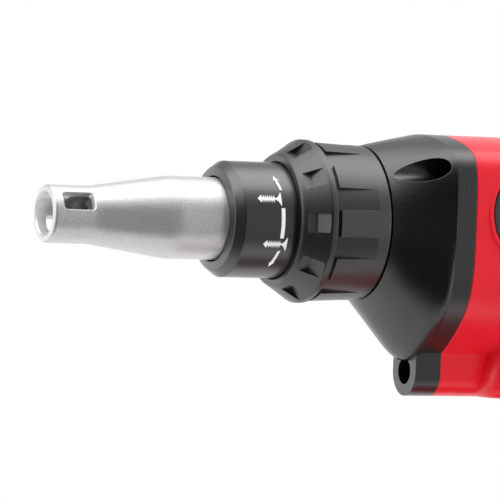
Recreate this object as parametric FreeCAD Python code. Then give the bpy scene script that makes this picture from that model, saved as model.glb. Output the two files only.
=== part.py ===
import FreeCAD
import Part
import math
import os

# Cordless drywall screwdriver. Sizes are in millimetres.
# The nose points along -X, the spindle runs along X and +Z is up.
# Stations along X are measured from the joint between gear case and motor housing,
# heights from the spindle axis. The finished pieces are moved so that the origin
# is the centre of the battery's underside.

# Driving dimensions
spindle_height = 178.0
battery_center = 48.0
running_gap = 0.05
sliding_gap = 0.35
loose_gap = 0.3
touch_gap = 0.1

# Nose cone
nose_tip = -116.8
nose_neck_end = -104.1
nose_cone_end = -82.0
nose_rear = -50.6
nose_tip_radius = 7.8
nose_base_radius = 11.15
nose_bore_radius = 5.75
nose_bore_length = 14.0
nose_inner_radius = 8.7
nose_tip_round = 0.9
nose_neck_round = 18.0
nose_shoulder_round = 24.0
nose_mouth_chamfer = 0.4
nose_wall_lead = 3.0
window_lead = 2.9
window_length = 8.8
window_width = 4.9
window_tilt = 30.5
window_round = 0.9
window_bevel = 0.3
o_ring_center = -56.1
o_ring_thickness = 1.2
o_ring_groove_width = 1.8

# Depth collar
collar_front = -68.0
collar_radius = 15.75
collar_face_slope = 0.7
collar_chamfer = 1.7
collar_chamfer_length = 2.35
collar_rear = -36.5
collar_lip_front = -50.4
collar_lip_rear = -49.4
collar_lip_radius = 10.2
collar_thread_radius = 17.2
depth_travel = 3.0

# Adjusting ring
ring_front = -49.3
ring_rear = -23.8
ring_lip_thickness = 1.0
ring_lip_radius = 17.7
ring_cone_start_radius = 18.15
ring_cone_end = -42.2
ring_band_end = -40.7
ring_band_radius = 22.25
ring_waist_radius = 21.85
ring_rear_radius = 21.05
ring_flange_front = -30.9
ring_flange_rear = -28.0
ring_flute_count = 10
flute_width = 5.0
flute_floor_radius = 18.6
flute_corner = -45.1
pad_front = -39.3
pad_span = 19.5
hollow_depth = 1.0
hollow_rear = -24.6
hollow_end_rise = 0.27

# Where the collar's threaded flange starts, clear of the ring's lip at full travel
collar_thread_front = ring_front + ring_lip_thickness + depth_travel + 0.5

# Gear case
case_front = -23.5
case_rim = 6.0
case_front_radius = 21.15
flare_side_power = 1.3
flare_roof_power = 0.9
flare_chin_power = 0.92
flare_chin_end = -10.2
neck_front = -45.5
neck_radius = 12.5
journal_front = -32.8
journal_radius = 15.0
journal_boss_front = -27.2
journal_boss_radius = 18.0
key_width = 4.0
key_height = 1.1
bush_seat_radius = 8.02
bush_seat_rear = -29.0
clutch_room_front = -26.0
clutch_room_radius = 13.5
gear_room_front = -14.0
gear_room_radius = 19.2
front_wall_hole_radius = 5.6
clip_groove_front = -32.0
clip_thickness = 0.9
clip_groove_depth = 0.8

# Body section: distances of its flats from the spindle axis
roof_distance = 26.1
roof_tilt = 15.9
side_distance = 24.6
chin_distance = 31.5
chin_tilt = 46.2
floor_distance = 41.1
tail_floor_distance = 26.0
section_sharpness = 8.0
section_points = 72
keel_radius = 6.8
keel_height = -40.4
keel_rise = 14.0
keel_boss_front = -7.7

# Gear case screws
case_screw_side = 19.7
case_screw_height = 15.15
case_screw_radius = 1.6
case_screw_head_radius = 2.9
case_screw_drive = 1.5
case_screw_head_height = 2.4
case_screw_length = 14.0
case_screw_seat = -1.8
case_counterbore_radius = 3.3
keel_counterbore_radius = 3.6

# Spindle and clutch
spindle_front = -99.0
spindle_holder_radius = 5.4
spindle_holder_rear = -52.0
spindle_shaft_radius = 5.0
spindle_plate_front = -24.2
spindle_plate_rear = -20.2
spindle_plate_radius = 11.0
spindle_stub_radius = 3.0
spindle_stub_rear = -14.4
hex_across_flats = 6.4
hex_depth = 14.0
magnet_radius = 2.6
magnet_length = 4.0
dog_height = 2.1
dog_inner_radius = 6.6
dog_outer_radius = 10.4
dog_count = 3
dog_angle = 40.0
clutch_travel = 2.5
dog_clearance = 0.4
washer_front = -25.8
washer_rear = -24.4
washer_radius = 9.5
spring_wire_radius = 0.45
clutch_spring_radius = 4.6

# Planet gears
gear_module = 0.7
sun_teeth = 12
planet_teeth = 18
ring_teeth = 48
planet_count = 3
pressure_angle = 20.0
tooth_thinning = 0.09
addendum_factor = 0.85
dedendum_factor = 1.25
gear_front = -11.4
gear_rear = -3.4
carrier_plate_front = spindle_plate_rear + dog_height + clutch_travel + dog_clearance
carrier_plate_rear = -12.2
carrier_radius = 11.8
planet_pin_radius = 1.6
keeper_front = -3.2
keeper_rear = -2.2
keeper_inner_radius = 5.6
keeper_outer_radius = 13.4
ring_gear_front = -12.6
ring_gear_rear = -0.5
ring_gear_radius = 19.1

# Motor
shaft_radius = 2.5
shaft_front = -11.6
shaft_rear = 75.0
plate_thickness = 2.6
plate_radius = 21.4
plate_hub_radius = 10.4
plate_hub_rear = 9.2
plate_hole_radius = 5.4
front_bearing_radius = 8.0
front_bearing_front = 3.2
bearing_width = 5.0
rear_bearing_radius = 6.5
rear_bearing_front = 68.0
stator_front = 14.0
stator_rear = 44.0
stator_radius = 21.4
stator_yoke = 3.2
stator_bore_radius = 11.2
stator_teeth = 6
stator_tooth_width = 5.0
stator_shoe_thickness = 1.6
stator_shoe_width = 9.0
winding_overhang = 3.5
winding_width = 9.4
winding_inner_radius = 13.0
winding_outer_radius = 17.4
rotor_radius = 10.7
board_front = 47.7
board_thickness = 1.6
board_inner_radius = 6.0
fan_front = 53.0
fan_rear = 63.0
fan_radius = 19.5
fan_disc = 1.2
fan_hub_radius = 6.0
fan_blades = 11
fan_blade_thickness = 1.3

# Motor housing halves
motor_room_radius = 22.4
motor_room_rear = 84.0
barrel_rear = 88.0
barrel_rear_scale = 0.95
chin_hold = 14.0
chin_fade_end = 76.0
cradle_width = 2.5
cradle_front = 18.0
cradle_rear = 36.0
bulkhead_front = 67.6
bulkhead_rear = 73.4
split_chamfer = 0.2
bumper_rear = 97.0

# Block above the trigger
block_front = 11.5
block_rear = 76.0
block_bottom = -47.2
block_half_width = 15.2
block_top_setback = 6.5
block_wall = 3.0

# Grip and foot
grip_half_depth = 20.0
grip_half_width = 16.4
grip_top_center = 57.0
grip_lean = 0.125
grip_bottom = -128.0
grip_wall = 3.0
grip_cover_thickness = 1.3
grip_cover_top = -50.0
grip_cover_step = -79.0
grip_cover_bottom = -113.0
grip_cover_front = 66.0
foot_front = 10.0
foot_rear = 95.0
foot_half_width = 31.0
foot_bottom = -138.0
foot_top = -117.0
foot_round = 9.0
foot_wall = 3.6
foot_floor = -125.0
channel_front = 5.0
channel_rear = 90.0
channel_half_width = 27.0
channel_mouth_half_width = 22.0
channel_lip = 4.0
channel_top = -127.2

# Trigger and controls
trigger_front = 28.0
trigger_rear = 47.5
trigger_top = -48.4
trigger_bottom = -73.6
trigger_half_width = 6.4
trigger_travel = 6.0
trigger_spring_height = -60.0
trigger_spring_radius = 3.0
trigger_spring_hole_radius = 4.0
trigger_spring_hole_depth = 6.0
switch_gap = 1.2
switch_front = trigger_rear + trigger_travel + switch_gap
switch_rear = 68.5
switch_half_width = 8.0
switch_top = -47.5
switch_bottom = -76.0
bar_center = 30.0
bar_height = -38.0
bar_length = 12.0
bar_thickness = 6.6
bar_travel = 2.2
bar_stand_out = 0.8
bar_half_reach = block_half_width + bar_travel + bar_stand_out
lock_center = 60.0
lock_height = -58.0
lock_radius = 4.4
lock_reach = 17.0
lock_flange_radius = 5.0
lock_flange_thickness = 1.0
lock_travel = 1.6
lock_spring_closed = 0.9
lock_root = switch_half_width + lock_spring_closed + lock_travel + lock_flange_thickness
lock_spring_radius = 3.4
lock_wire_radius = 0.22

# Side panels
panel_front = 5.4
panel_rear = 47.0
panel_height = 4.0
panel_half_height = 12.6
panel_depth = 0.9
panel_rise = 0.25
panel_gap = 0.45
panel_rim = 1.6
panel_rim_rise = 0.5
panel_crown_radius = 100.0
panel_crown_peak = 24.7
panel_crown_height = -1.5
panel_edge_round = 0.3
panel_rim_round = 0.25

# Cooling slots, in a row by the fan and a shorter row at the tail
vent_half_height = 1.1
vent_pitch = 5.0
vent_round = 1.0
fan_vent_front = 53.0
fan_vent_rear = 66.0
fan_vent_lowest = -7.0
fan_vent_count = 5
tail_vent_front = 75.5
tail_vent_rear = 82.5
tail_vent_lowest = -4.8
tail_vent_count = 3

# Housing screws
housing_screw_radius = 1.5
housing_screw_head_radius = 2.9
housing_screw_head_height = 2.2
housing_boss_radius = 3.6
housing_screw_end = -6.0
housing_screw_drive = 1.4
housing_screw_set_in = 2.6
# Each boss: station, height and the wall it reaches to
boss_places = [
    (79.0, 13.0, 22.0), (79.0, -10.4, 20.8), (19.4, -37.0, 12.6), (66.0, -86.0, 14.4), (68.0, -108.0, 14.0),
    (22.0, -121.0, 28.6), (88.0, -121.0, 28.6),
]

# Belt hook
hook_center = 72.0
hook_width = 14.0
hook_height = -121.5
hook_thickness = 1.8
hook_gap = 7.6
hook_arm_top = -94.0
hook_plate_top = -117.6
hook_plate_bottom = -136.0
hook_hole_radius = 2.0
hook_hole_depth = 9.5
hook_boss_radius = 4.2
hook_screw_head_radius = 3.8
hook_screw_drive = 1.9

# Battery
battery_length = 104.0
battery_half_width = 38.0
battery_top = -138.4
battery_joint = -158.0
battery_round = 10.0
battery_wall = 3.0
battery_edge_round = 3.0
cell_radius = 9.1
cell_length = 65.0
cell_pitch = 19.0
cell_count = 5
rail_front = 12.0
rail_rear = 80.0
rail_side_gap = 0.5
blade_count = 4
blade_pitch = 9.0
blade_thickness = 1.0
blade_front = 70.0
blade_height = 3.4
latch_front = 10.0
latch_length = 24.0
latch_top = -141.6
latch_height = 9.0
latch_depth = 7.0
latch_travel = 2.6
latch_rise = 0.8
latch_spring_closed = 3.2
latch_pocket_depth = latch_depth - latch_rise + latch_travel + latch_spring_closed
latch_spring_radius = 2.6
latch_wire_radius = 0.4
contact_half_width = 1.5
contact_leaf = 0.5
contact_length = 7.0


# Shape helpers

def vec(x, y, z):
    return FreeCAD.Vector(x, y, z)


AXIS_X = vec(1, 0, 0)
AXIS_Y = vec(0, 1, 0)
AXIS_Z = vec(0, 0, 1)
ORIGIN = vec(0, 0, 0)


def rounded_wire(corners, lift):
    """Closed outline through corners (a, b, radius), lifted into space."""
    stops = []
    count = len(corners)
    for index, (a, b, radius) in enumerate(corners):
        here = vec(a, b, 0)
        if radius == 0:
            stops.append((here, None, here))
            continue
        before = corners[index - 1]
        after = corners[(index + 1) % count]
        to_before = (vec(before[0], before[1], 0) - here).normalize()
        to_after = (vec(after[0], after[1], 0) - here).normalize()
        half_angle = to_before.getAngle(to_after) / 2
        reach = radius / math.tan(half_angle)
        bisector = (to_before + to_after).normalize()
        middle = here + bisector * (radius / math.sin(half_angle) - radius)
        stops.append((here + to_before * reach, middle, here + to_after * reach))
    edges = []
    for index, (start, middle, end) in enumerate(stops):
        if middle is not None:
            arc = Part.Arc(lift(start), lift(middle), lift(end))
            edges.append(arc.toShape())
        next_start = stops[(index + 1) % count][0]
        if end.distanceToPoint(next_start) > 1e-6:
            edges.append(Part.makeLine(lift(end), lift(next_start)))
    return Part.Wire(edges)


def turned(corners):
    """Solid of revolution about X from an outline of (x, radius, rounding)."""
    wire = rounded_wire(corners, lambda p: vec(p.x, 0, p.y))
    return Part.Face(wire).revolve(ORIGIN, AXIS_X, 360)


def prism_x(corners, start, end):
    wire = rounded_wire(corners, lambda p: vec(start, p.x, p.y))
    return Part.Face(wire).extrude(vec(end - start, 0, 0))


def prism_y(corners, start, end):
    wire = rounded_wire(corners, lambda p: vec(p.x, start, p.y))
    return Part.Face(wire).extrude(vec(0, end - start, 0))


def prism_z(corners, start, end):
    wire = rounded_wire(corners, lambda p: vec(p.x, p.y, start))
    return Part.Face(wire).extrude(vec(0, 0, end - start))


def rod_x(radius, start, end, y=0.0, z=0.0):
    return Part.makeCylinder(radius, end - start, vec(start, y, z), AXIS_X)


def rod_y(radius, start, end, x, z):
    return Part.makeCylinder(radius, end - start, vec(x, start, z), AXIS_Y)


def rod_z(radius, start, end, x, y):
    return Part.makeCylinder(radius, end - start, vec(x, y, start), AXIS_Z)


def tube_x(outer, inner, start, end):
    return rod_x(outer, start, end).cut(rod_x(inner, start, end))


def box(x0, x1, y0, y1, z0, z1):
    return Part.makeBox(x1 - x0, y1 - y0, z1 - z0, vec(x0, y0, z0))


def spun(shape, angle):
    """Copy of a shape turned about the spindle axis."""
    copy = shape.copy()
    copy.rotate(ORIGIN, AXIS_X, angle)
    return copy


def mirrored(shape):
    return shape.mirror(ORIGIN, AXIS_Y)


def joined(shapes):
    return shapes[0].multiFuse(shapes[1:]).removeSplitter()


def rectangle(a0, a1, b0, b1, radius=0.0):
    return [(a0, b0, radius), (a1, b0, radius), (a1, b1, radius), (a0, b1, radius)]


def hexagon(a, b, radius):
    corners = []
    for k in range(6):
        turn = k * math.pi / 3
        corners.append((a + radius * math.cos(turn), b + radius * math.sin(turn), 0))
    return corners


def smooth_loop(points):
    curve = Part.BSplineCurve()
    curve.interpolate(points, PeriodicFlag=True)
    return Part.Wire(curve.toShape())


def coil(start, direction, length, radius, wire_radius, turns):
    """Spring wound about a line, one pipe along arcs of a quarter turn."""
    side = direction.cross(vec(0, 0.6, 0.8)).normalize()
    other = direction.cross(side)
    steps = turns * 8

    def at(step):
        angle = 2 * math.pi * step / 8
        rise = direction * (length * step / steps)
        return start + rise + (side * math.cos(angle) + other * math.sin(angle)) * radius

    edges = []
    for step in range(0, steps, 2):
        edges.append(Part.Arc(at(step), at(step + 1), at(step + 2)).toShape())
    path = Part.Wire(edges)
    heading = edges[0].tangentAt(edges[0].FirstParameter)
    section = Part.Wire(Part.Circle(at(0), heading, wire_radius).toShape())
    return path.makePipeShell([section], True, False)


# Body section, a rounded polygon in polar form
def section_radius(angle, inset, chin, floor):
    """Radius of the body section at an angle from +Y, its flats set in by inset."""
    flats = [
        (90 - roof_tilt, roof_distance),
        (90 + roof_tilt, roof_distance),
        (0, side_distance),
        (180, side_distance),
        (-chin_tilt, chin),
        (180 + chin_tilt, chin),
        (-90, floor),
    ]
    total = 0.0
    for heading, distance in flats:
        facing = math.cos(angle - math.radians(heading))
        if facing > 0:
            total += (facing / (distance - inset)) ** section_sharpness
    return total ** (-1 / section_sharpness)


def section_loop(x, inset=0.0, chin=chin_distance, floor=floor_distance, scale=1.0):
    """Body section at a station."""
    points = []
    for step in range(section_points):
        angle = 2 * math.pi * step / section_points
        radius = section_radius(angle, inset, chin, floor) * scale
        points.append(vec(x, radius * math.cos(angle), radius * math.sin(angle)))
    return smooth_loop(points)


def flare_loop(x):
    """Gear case section at a station, growing from a circle and fuller sooner under the chin."""
    points = []
    for step in range(section_points):
        angle = 2 * math.pi * step / section_points
        up = max(math.sin(angle), 0.0) ** 4
        down = max(-math.sin(angle), 0.0)
        power = flare_side_power * (1 - up - down) + flare_roof_power * up + flare_chin_power * down
        end = -case_rim + (flare_chin_end + case_rim) * down
        share = min((x - case_front) / (end - case_front), 1.0)
        full = section_radius(angle, 0.0, chin_distance, floor_distance)
        radius = case_front_radius + (full - case_front_radius) * share ** power
        points.append(vec(x, radius * math.cos(angle), radius * math.sin(angle)))
    return smooth_loop(points)


def faded(x, near, far):
    """A section distance that fades behind the chin."""
    share = min(max((x - chin_hold) / (chin_fade_end - chin_hold), 0.0), 1.0)
    share = share * share * (3 - 2 * share)
    return near + (far - near) * share


def barrel_loop(x, inset=0.0):
    chin = faded(x, chin_distance, tail_floor_distance)
    floor = faded(x, floor_distance, tail_floor_distance)
    tail = max((x - chin_fade_end) / (barrel_rear - chin_fade_end), 0.0)
    scale = 1.0 - (1.0 - barrel_rear_scale) * tail ** 2
    return section_loop(x, inset, chin, floor, scale)


def barrel(stations, inset=0.0):
    return Part.makeLoft([barrel_loop(x, inset) for x in stations], True, False)


# Nose cone: a turned sleeve with two opposite windows near its tip
bore_end = nose_tip + nose_bore_length
inner_cone_end = nose_cone_end - nose_wall_lead
groove_start = o_ring_center - o_ring_groove_width / 2
groove_end = o_ring_center + o_ring_groove_width / 2
groove_radius = nose_base_radius - o_ring_thickness + 0.25
nose_cone = turned([
    (nose_tip, nose_bore_radius + nose_mouth_chamfer, 0),
    (nose_tip, nose_tip_radius, nose_tip_round),
    (nose_neck_end, nose_tip_radius, nose_neck_round),
    (nose_cone_end, nose_base_radius, nose_shoulder_round),
    (groove_start, nose_base_radius, 0),
    (groove_start, groove_radius, 0),
    (groove_end, groove_radius, 0),
    (groove_end, nose_base_radius, 0),
    (nose_rear, nose_base_radius, 0.6),
    (nose_rear, nose_inner_radius, 0),
    (inner_cone_end, nose_inner_radius, 6.0),
    (bore_end, nose_bore_radius, 0),
    (nose_tip + nose_mouth_chamfer, nose_bore_radius, 0),
])
window_start = nose_tip + window_lead
window = prism_y(
    rectangle(window_start, window_start + window_length, -window_width / 2, window_width / 2, window_round),
    -2 * nose_tip_radius,
    2 * nose_tip_radius,
)
nose_cone = nose_cone.cut(spun(window, -window_tilt))
window_edges = []
for edge in nose_cone.Edges:
    span = edge.BoundBox
    if span.XMin > window_start - touch_gap and span.XMax < window_start + window_length + touch_gap:
        if all(abs(math.hypot(v.Y, v.Z) - nose_tip_radius) < touch_gap for v in edge.Vertexes):
            window_edges.append(edge)
nose_cone = nose_cone.makeChamfer(window_bevel, window_edges)
nose_o_ring = Part.makeTorus(
    groove_radius + o_ring_thickness / 2 + touch_gap / 2, o_ring_thickness / 2, vec(o_ring_center, 0, 0), AXIS_X
)

# Depth collar: a keyed sleeve that the ring drives along the spindle
collar_bore = nose_base_radius + sliding_gap
collar_slide_radius = neck_radius + sliding_gap
depth_collar = turned([
    (collar_front, collar_bore, 0.4),
    (collar_front + collar_face_slope, collar_radius - collar_chamfer, 0.4),
    (collar_front + collar_face_slope + collar_chamfer_length, collar_radius, 0.4),
    (collar_thread_front, collar_radius, 0),
    (collar_thread_front, collar_thread_radius, 0.4),
    (collar_rear, collar_thread_radius, 0.4),
    (collar_rear, collar_slide_radius, 0),
    (collar_lip_rear, collar_slide_radius, 0),
    (collar_lip_rear, collar_lip_radius, 0),
    (collar_lip_front, collar_lip_radius, 0),
    (collar_lip_front, collar_bore, 0),
])
key_reach = neck_radius + key_height
keyway = box(
    collar_lip_rear, collar_rear + 1, -key_width / 2 - sliding_gap, key_width / 2 + sliding_gap,
    -key_reach - sliding_gap, key_reach + sliding_gap,
)
depth_collar = depth_collar.cut(keyway)

# Adjusting ring: ten wedge notches on its front cone and, behind its band, a hollow that runs out to the
# rear and leaves a raised finger pad behind each notch
ring_bore = collar_thread_radius + sliding_gap
ring_hole = collar_radius + sliding_gap
flange_bore = journal_radius + sliding_gap
adjust_ring = turned([
    (ring_front, ring_hole, 0),
    (ring_front, ring_lip_radius, 0.35),
    (ring_front + 0.5, ring_cone_start_radius, 0),
    (ring_cone_end, ring_band_radius, 0.7),
    (ring_band_end, ring_band_radius, 0.3),
    (ring_band_end + 0.3, ring_waist_radius, 0),
    (ring_rear, ring_rear_radius, 0.7),
    (ring_rear, journal_boss_radius + sliding_gap, 0),
    (ring_flange_rear, journal_boss_radius + sliding_gap, 0),
    (ring_flange_rear, flange_bore, 0),
    (ring_flange_front, flange_bore, 0),
    (ring_flange_front, ring_bore, 0),
    (ring_front + ring_lip_thickness, ring_bore, 0),
    (ring_front + ring_lip_thickness, ring_hole, 0),
])
notch = prism_y([
    (ring_front, flute_floor_radius, 0),
    (flute_corner, flute_floor_radius, 0.3),
    (ring_cone_end - 0.3, ring_band_radius - 0.1, 0),
    (ring_cone_end - 0.3, ring_band_radius + 1, 0),
    (ring_front, ring_band_radius + 1, 0),
], -flute_width / 2, flute_width / 2)
hollow_front = ring_band_end + 0.15
finger_hollow = turned([
    (hollow_front, ring_waist_radius - hollow_depth, 0),
    (hollow_rear, ring_rear_radius + hollow_end_rise, 0),
    (hollow_rear, ring_band_radius + 1, 0),
    (hollow_front, ring_band_radius + 1, 0),
])
pad_slice = Part.makeCylinder(
    2 * ring_band_radius, hollow_rear + 1 - pad_front, vec(pad_front, 0, 0), AXIS_X, pad_span
)
finger_pads = []
ring_notches = []
for index in range(ring_flute_count):
    turn = 90 + 360 * index / ring_flute_count
    ring_notches.append(spun(notch, turn))
    finger_pads.append(spun(pad_slice, turn - pad_span / 2))
adjust_ring = adjust_ring.cut(ring_notches).cut(finger_hollow.cut(finger_pads))
ring_clip = tube_x(
    journal_radius + 1.7, journal_radius - clip_groove_depth + touch_gap,
    clip_groove_front + touch_gap / 2, clip_groove_front + touch_gap / 2 + clip_thickness,
).cut(box(-60, 0, -2.5, 2.5, 0, 40))
ring_washer = tube_x(
    journal_boss_radius - 0.3, journal_radius + touch_gap, ring_flange_rear + touch_gap,
    journal_boss_front - touch_gap,
)

# Gear case: a trumpet flare from the round neck to the crowned body section, with a keel
flare_length = -case_rim - case_front
flare_loops = []
for share in (0.0, 0.16, 0.33, 0.5, 0.66, 0.8, 1.0):
    flare_loops.append(flare_loop(case_front + flare_length * share))
flare = Part.makeLoft(flare_loops, True, False)
case_rim_solid = Part.makeLoft([
    section_loop(-case_rim), section_loop(-split_chamfer), section_loop(0, split_chamfer),
], True, True)
keel_outline = [
    (-keel_radius, keel_height + keel_rise, 0),
    (-keel_radius, keel_height - keel_radius, keel_radius - 0.01),
    (keel_radius, keel_height - keel_radius, keel_radius - 0.01),
    (keel_radius, keel_height + keel_rise, 0),
]
case_keel = prism_x(keel_outline, keel_boss_front, 0)
case_neck = turned([
    (neck_front, 0, 0),
    (neck_front, neck_radius, 0.6),
    (journal_front, neck_radius, 0),
    (journal_front, journal_radius, 0.3),
    (clip_groove_front, journal_radius, 0),
    (clip_groove_front, journal_radius - clip_groove_depth, 0),
    (clip_groove_front + 1.0, journal_radius - clip_groove_depth, 0),
    (clip_groove_front + 1.0, journal_radius, 0),
    (journal_boss_front, journal_radius, 0),
    (journal_boss_front, journal_boss_radius, 0),
    (case_front + 1.0, journal_boss_radius, 0),
    (case_front + 1.0, 0, 0),
])
case_key = box(
    neck_front + 1.0, journal_front, -key_width / 2, key_width / 2, -key_reach, key_reach,
)
gear_case = joined([flare, case_rim_solid, case_keel, case_neck, case_key])
case_inside = turned([
    (neck_front - 1, 0, 0),
    (neck_front - 1, bush_seat_radius, 0),
    (bush_seat_rear, bush_seat_radius, 0),
    (bush_seat_rear, front_wall_hole_radius, 0),
    (clutch_room_front, front_wall_hole_radius, 0),
    (clutch_room_front, clutch_room_radius, 0),
    (gear_room_front, clutch_room_radius, 0),
    (gear_room_front, gear_room_radius, 0),
    (1, gear_room_radius, 0),
    (1, 0, 0),
])
case_cuts = [case_inside]
case_screw_places = [
    (-case_screw_side, case_screw_height, case_counterbore_radius),
    (case_screw_side, case_screw_height, case_counterbore_radius),
    (0, keel_height, keel_counterbore_radius),
]
screw_head_front = case_screw_seat - case_screw_head_height
screw_end = case_screw_seat + case_screw_length
case_screw_solids = []
housing_screw_bores = []
for y, z, counterbore in case_screw_places:
    case_cuts.append(rod_x(counterbore, case_front - 6, case_screw_seat, y, z))
    case_cuts.append(rod_x(case_screw_radius + touch_gap, case_screw_seat - 1, 1, y, z))
    head = rod_x(case_screw_head_radius, screw_head_front, case_screw_seat, y, z)
    drive = prism_x(
        hexagon(y, z, case_screw_drive), screw_head_front, screw_head_front + case_screw_head_height / 2,
    )
    shank = rod_x(case_screw_radius, case_screw_seat, screw_end, y, z)
    case_screw_solids.append(head.cut(drive).fuse(shank).removeSplitter())
    housing_screw_bores.append(rod_x(case_screw_radius + running_gap, -1, screw_end + 0.5, y, z))
gear_case = gear_case.cut(case_cuts)
gear_case_screws = Part.makeCompound(case_screw_solids)

# Spindle: bit holder in front, clutch plate with dogs behind
hex_radius = hex_across_flats / math.sqrt(3)
spindle = turned([
    (spindle_front, 0, 0),
    (spindle_front, spindle_holder_radius, 0.8),
    (spindle_holder_rear, spindle_holder_radius, 0),
    (spindle_holder_rear + 1.0, spindle_shaft_radius, 0),
    (spindle_plate_front, spindle_shaft_radius, 0),
    (spindle_plate_front, spindle_plate_radius, 0.4),
    (spindle_plate_rear, spindle_plate_radius, 0.4),
    (spindle_plate_rear, spindle_stub_radius, 0),
    (spindle_stub_rear - 0.5, spindle_stub_radius, 0),
    (spindle_stub_rear, spindle_stub_radius - 0.5, 0),
    (spindle_stub_rear, 0, 0),
])
spindle = spindle.cut(prism_x(hexagon(0, 0, hex_radius), spindle_front, spindle_front + hex_depth))
magnet_front = spindle_front + hex_depth - 1.0
spindle = spindle.cut(rod_x(magnet_radius + running_gap, magnet_front, magnet_front + magnet_length + 0.1))
bit_magnet = rod_x(magnet_radius, magnet_front, magnet_front + magnet_length)


def dog(start, end, heading):
    """One clutch dog, a sector of a ring."""
    ring = tube_x(dog_outer_radius, dog_inner_radius, start, end)
    half = math.radians(dog_angle / 2)
    reach = 2 * dog_outer_radius
    wedge = prism_x(
        [(0, 0, 0), (reach * math.cos(half), -reach * math.sin(half), 0),
         (reach * math.cos(half), reach * math.sin(half), 0)], start, end,
    )
    return spun(ring.common(wedge), heading)


spindle_dogs = []
carrier_dogs = []
for k in range(dog_count):
    heading = 360 * k / dog_count
    spindle_dogs.append(dog(spindle_plate_rear, spindle_plate_rear + dog_height, heading))
    carrier_dogs.append(dog(carrier_plate_front - dog_height, carrier_plate_front, heading + 180 / dog_count))
spindle = joined([spindle] + spindle_dogs)
spindle_bush = tube_x(
    bush_seat_radius - 0.01, spindle_shaft_radius + running_gap, neck_front + 0.4, bush_seat_rear,
)
thrust_washer = tube_x(washer_radius, spindle_shaft_radius + running_gap, washer_front, washer_rear)
clutch_spring = coil(
    vec(spindle_plate_rear + spring_wire_radius + touch_gap, 0, 0), AXIS_X,
    carrier_plate_front - spindle_plate_rear - 2 * spring_wire_radius - 2 * touch_gap,
    clutch_spring_radius, spring_wire_radius, 3,
)


# Planet gears with involute teeth
def gear_wire(teeth, tip, root, thickness, phase, x):
    """Outline of a gear with straight facets along the involute flanks."""
    pitch = gear_module * teeth / 2
    base = pitch * math.cos(math.radians(pressure_angle))
    involute_at_pitch = math.tan(math.radians(pressure_angle)) - math.radians(pressure_angle)
    half_at_pitch = thickness / (2 * pitch)
    flank = []
    for step in range(5):
        radius = root + (tip - root) * step / 4
        pressure = math.acos(min(base / radius, 1.0))
        half = half_at_pitch + involute_at_pitch - (math.tan(pressure) - pressure)
        flank.append((radius, half))
    points = []
    for tooth in range(teeth):
        middle = phase + 2 * math.pi * tooth / teeth
        for radius, half in flank:
            points.append((radius, middle - half))
        for radius, half in reversed(flank):
            points.append((radius, middle + half))
    corners = [vec(x, r * math.cos(a), r * math.sin(a)) for r, a in points]
    return Part.makePolygon(corners + [corners[0]])


def gear_prism(wire, length):
    return Part.Face(wire).extrude(vec(length, 0, 0))


tooth_pitch = math.pi * gear_module
thin_tooth = tooth_pitch / 2 - tooth_thinning
wide_space = tooth_pitch / 2 + tooth_thinning
addendum = addendum_factor * gear_module
dedendum = dedendum_factor * gear_module
sun_pitch = gear_module * sun_teeth / 2
planet_pitch = gear_module * planet_teeth / 2
ring_pitch = gear_module * ring_teeth / 2
planet_orbit = sun_pitch + planet_pitch
gear_length = gear_rear - gear_front
sun_pinion = gear_prism(
    gear_wire(sun_teeth, sun_pitch + addendum, sun_pitch - dedendum, thin_tooth, 0, gear_front), gear_length,
).cut(rod_x(shaft_radius, gear_front, gear_rear))
ring_phase = math.pi / ring_teeth
ring_gear = rod_x(ring_gear_radius, ring_gear_front, ring_gear_rear).cut(gear_prism(
    gear_wire(
        ring_teeth, ring_pitch + dedendum, ring_pitch - addendum, wide_space, ring_phase, ring_gear_front,
    ), ring_gear_rear - ring_gear_front,
))
planet_places = []
planet_gears = []
for k in range(planet_count):
    heading = math.pi / 2 + 2 * math.pi * k / planet_count
    phase = heading + math.pi + 2 * math.pi / planet_teeth * (0.5 + heading * sun_teeth / (2 * math.pi))
    place = vec(0, planet_orbit * math.cos(heading), planet_orbit * math.sin(heading))
    wire = gear_wire(
        planet_teeth, planet_pitch + addendum, planet_pitch - dedendum, thin_tooth, phase, gear_front,
    )
    gear = gear_prism(wire, gear_length).cut(rod_x(planet_pin_radius + running_gap, gear_front, gear_rear))
    gear.translate(place)
    planet_places.append(place)
    planet_gears.append(gear)
planet_carrier = rod_x(carrier_radius, carrier_plate_front, carrier_plate_rear)
planet_pins = []
planet_keeper = tube_x(keeper_outer_radius, keeper_inner_radius, keeper_front, keeper_rear)
for place in planet_places:
    planet_pins.append(rod_x(planet_pin_radius, carrier_plate_rear, keeper_rear, place.y, place.z))
    planet_keeper = planet_keeper.cut(
        rod_x(planet_pin_radius + running_gap / 2, keeper_front, keeper_rear, place.y, place.z)
    )
planet_carrier = joined([planet_carrier] + carrier_dogs + planet_pins)
planet_carrier = planet_carrier.cut(
    rod_x(spindle_stub_radius + running_gap, carrier_plate_front - 1, carrier_plate_rear + 1)
)
carrier_bush = tube_x(
    clutch_room_radius - 0.02, carrier_radius + running_gap, carrier_plate_front - 0.6, gear_room_front,
)

# Motor: shaft with rotor core and fan, stator with six wound teeth, plate and bearings
rotor_shaft = rod_x(shaft_radius, shaft_front, shaft_rear)
rotor_core = tube_x(rotor_radius, shaft_radius, stator_front, stator_rear)
motor_plate = turned([
    (0, plate_hole_radius, 0),
    (0, plate_radius, 0.4),
    (plate_thickness, plate_radius, 0.4),
    (plate_thickness, plate_hub_radius, 1.0),
    (plate_hub_rear, plate_hub_radius, 0.5),
    (plate_hub_rear, front_bearing_radius + 0.01, 0),
    (front_bearing_front, front_bearing_radius + 0.01, 0),
    (front_bearing_front, plate_hole_radius, 0),
])


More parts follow.
